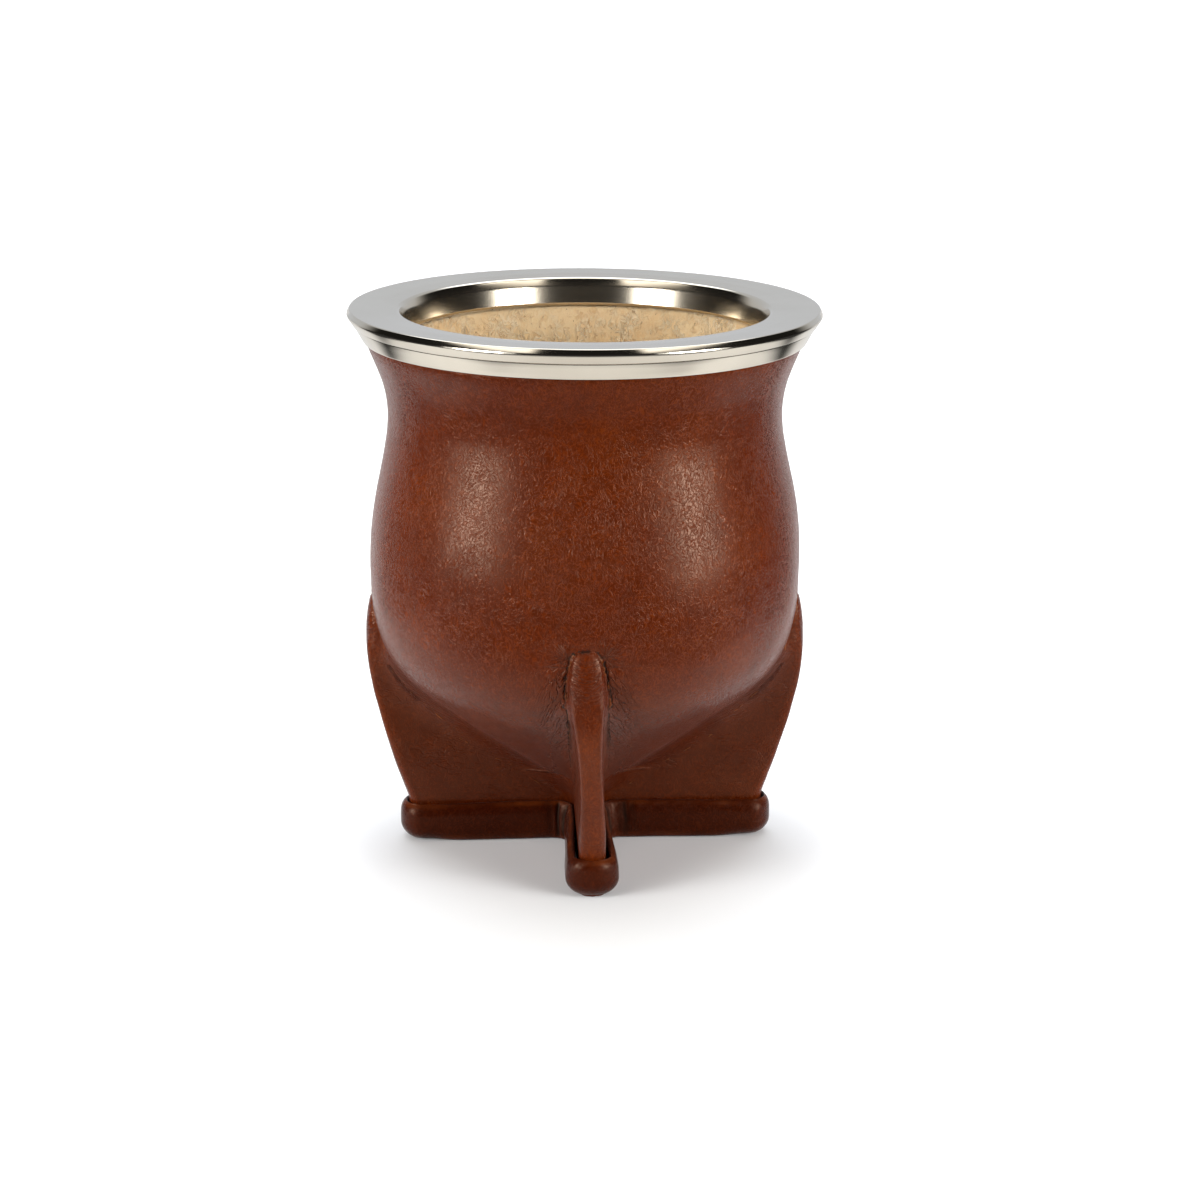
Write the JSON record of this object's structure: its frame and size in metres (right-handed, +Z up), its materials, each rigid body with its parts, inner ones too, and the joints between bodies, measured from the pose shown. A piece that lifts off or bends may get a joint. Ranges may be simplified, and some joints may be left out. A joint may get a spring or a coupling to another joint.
{
  "type": "mate gourd cup",
  "caption": "Squat drinking cup of dried gourd covered in leather, with a flared metal rim and leather fins that join in a cross-shaped strapped foot.",
  "frame": {"origin": "on the cup's axis, in the plane that the feet stand on", "axes": "+Z up along the cup's axis; the four fins run along +X, -X, +Y and -Y"},
  "size_m": [0.095, 0.095, 0.112],
  "materials": {
    "rim": "polished sheet metal",
    "gourd": "dry fibrous gourd wall, unfinished",
    "leather": "smooth waxed cowhide with fine grain, satin",
    "strap": "waxed leather band, satin"
  },
  "bodies": {
    "root": {"rim": "rim", "gourd": "gourd", "leather_cover": "leather", "foot_strap": "strap"}
  },
  "joints": []
}
